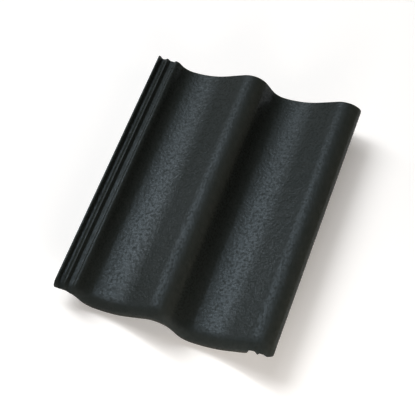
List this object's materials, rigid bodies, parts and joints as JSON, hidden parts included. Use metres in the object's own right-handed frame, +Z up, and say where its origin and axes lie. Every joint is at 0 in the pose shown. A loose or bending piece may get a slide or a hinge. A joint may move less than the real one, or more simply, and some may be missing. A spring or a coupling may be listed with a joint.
{
  "type": "concrete roof tile",
  "caption": "Interlocking concrete roof tile with rolls and water courses, side locks, a rounded turned-down nose and hanging nibs",
  "frame": {"origin": "centre of the tile's bounding box, on the floor that the loose tile lies on", "axes": "+X across the tile from the water lock to the cover lock, +Y up the roof from the nose to the head, +Z up out of the weathered face"},
  "size_m": [0.33, 0.42, 0.061],
  "materials": {
    "coated_concrete": "through-coloured concrete with an anthracite satin acrylic coating over a fine sand grain"
  },
  "bodies": {
    "root": {"roof_tile": "coated_concrete"}
  },
  "joints": []
}
